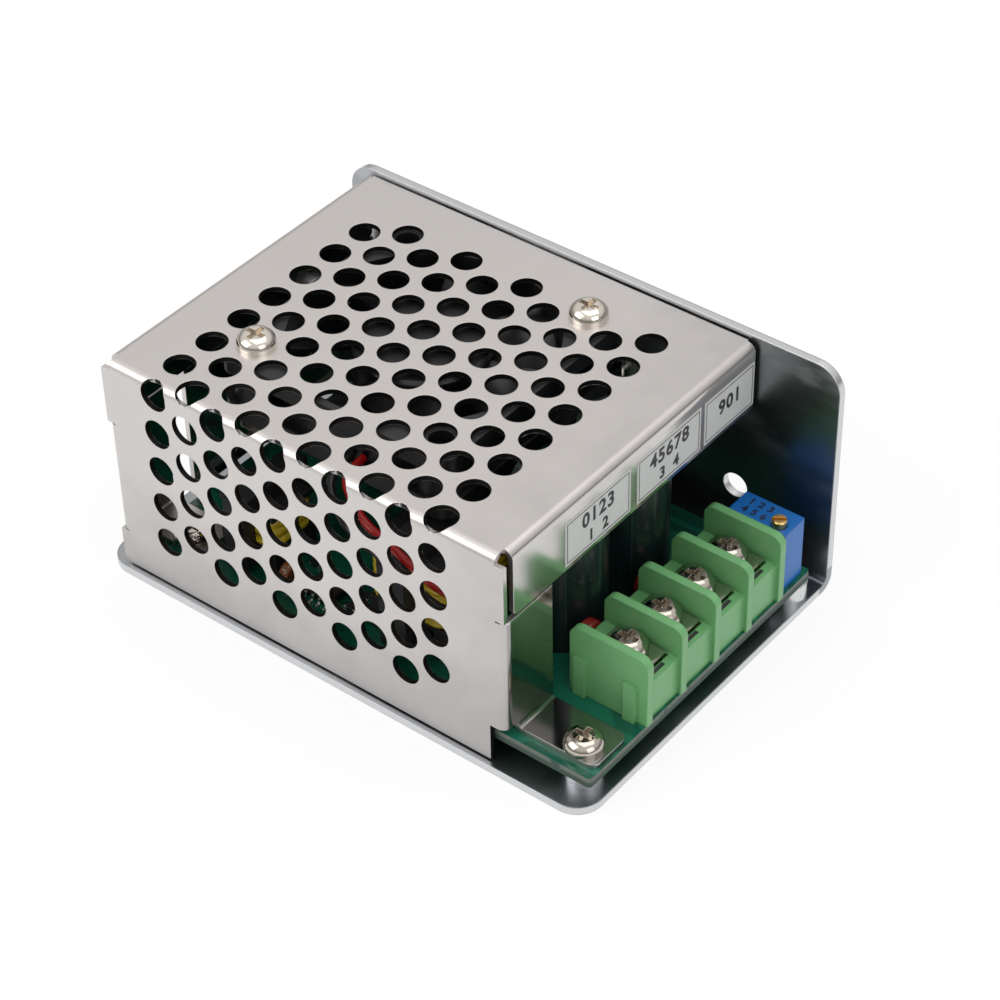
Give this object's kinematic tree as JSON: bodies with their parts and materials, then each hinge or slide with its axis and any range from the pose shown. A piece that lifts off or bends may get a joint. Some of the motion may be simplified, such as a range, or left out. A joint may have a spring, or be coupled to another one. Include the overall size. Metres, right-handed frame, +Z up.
{
  "type": "buck converter module",
  "caption": "enclosed step-down converter: bent metal plate and perforated folded cover with a small fan over a green circuit board, screw terminals and a trimmer at one end",
  "frame": {"origin": "middle of the case plate's underside", "axes": "+X to the terminal end, +Y to the back wall, +Z up"},
  "size_m": [0.085, 0.058, 0.0392],
  "materials": {
    "case_plate": "satin sheet with a bright inside",
    "cover_sheet": "satin nickel-plated sheet",
    "board_laminate": "green solder mask over laminate",
    "screw_steel": "nickel-plated steel",
    "standoff_metal": "turned metal",
    "terminal_plastic": "moulded green plastic",
    "tinned_metal": "tin- or nickel-plated metal",
    "trimmer_plastic": "moulded blue plastic",
    "trimmer_brass": "turned brass",
    "fan_plastic": "moulded black plastic",
    "bearing_bronze": "sintered bronze",
    "shaft_steel": "ground steel",
    "magnet": "bonded magnet ring",
    "stator_steel": "stacked steel with its coils",
    "lead_red": "red insulated wire",
    "lead_black": "black insulated wire",
    "socket_plastic": "moulded white plastic",
    "chip_plastic": "moulded black epoxy",
    "pad_rubber": "grey silicone pad",
    "dipped_red": "dark red dipped coat",
    "dipped_brown": "brown dipped coat",
    "can_aluminium": "drawn can",
    "sleeve_film": "dark green shrunk sleeve",
    "ferrite": "dark grey ferrite",
    "bobbin_plastic": "moulded black plastic",
    "coil_tape": "yellow polyester tape"
  },
  "bodies": {
    "root": {"base_plate": "case_plate", "board_screws": "screw_steel", "board_standoffs": "standoff_metal", "capacitor_1_can": "can_aluminium", "capacitor_1_leads": "tinned_metal", "capacitor_1_sleeve": "sleeve_film", "capacitor_2_can": "can_aluminium", "capacitor_2_leads": "tinned_metal", "capacitor_2_sleeve": "sleeve_film", "capacitor_3_can": "can_aluminium", "capacitor_3_leads": "tinned_metal", "capacitor_3_sleeve": "sleeve_film", "capacitor_4_can": "can_aluminium", "capacitor_4_leads": "tinned_metal", "capacitor_4_sleeve": "sleeve_film", "circuit_board": "board_laminate", "control_chip": "chip_plastic", "control_chip_pins": "tinned_metal", "cover": "cover_sheet", "cover_screws": "screw_steel", "device_screws": "screw_steel", "dipped_capacitor_1": "dipped_red", "dipped_capacitor_2": "dipped_red", "dipped_capacitor_3": "dipped_brown", "dipped_capacitor_leads": "tinned_metal", "fan_bearing": "bearing_bronze", "fan_frame": "fan_plastic", "fan_lead_black": "lead_black", "fan_lead_red": "lead_red", "fan_nuts": "screw_steel", "fan_plug": "socket_plastic", "fan_socket": "socket_plastic", "fan_socket_pins": "tinned_metal", "fan_stator": "stator_steel", "filter_inductor_bobbin": "bobbin_plastic", "filter_inductor_core_lower": "ferrite", "filter_inductor_core_upper": "ferrite", "filter_inductor_pins": "tinned_metal", "filter_inductor_winding": "coil_tape", "insulating_pads": "pad_rubber", "main_inductor_bobbin": "bobbin_plastic", "main_inductor_core_lower": "ferrite", "main_inductor_core_upper": "ferrite", "main_inductor_pins": "tinned_metal", "main_inductor_winding": "coil_tape", "power_device_1_case": "chip_plastic", "power_device_1_leadframe": "tinned_metal", "power_device_2_case": "chip_plastic", "power_device_2_leadframe": "tinned_metal", "terminal_clamps": "tinned_metal", "terminal_contacts": "tinned_metal", "terminal_housing": "terminal_plastic", "terminal_screws": "tinned_metal", "trimmer_body": "trimmer_plastic", "trimmer_pins": "tinned_metal"},
    "rotor": {"fan_rotor": "fan_plastic", "fan_shaft": "shaft_steel", "fan_magnet": "magnet"},
    "trimmer": {"trimmer_screw": "trimmer_brass"}
  },
  "joints": [
    {"name": "rotor_spin", "type": "hinge", "parent": "root", "child": "rotor", "pos_m": [-0.0086, 0.003, 0.0315], "axis": [0, 0, 1], "continuous": true},
    {"name": "trimmer_turn", "type": "hinge", "parent": "root", "child": "trimmer", "pos_m": [0.0394, 0.0194, 0.016], "axis": [0, 0, 1], "continuous": true}
  ]
}
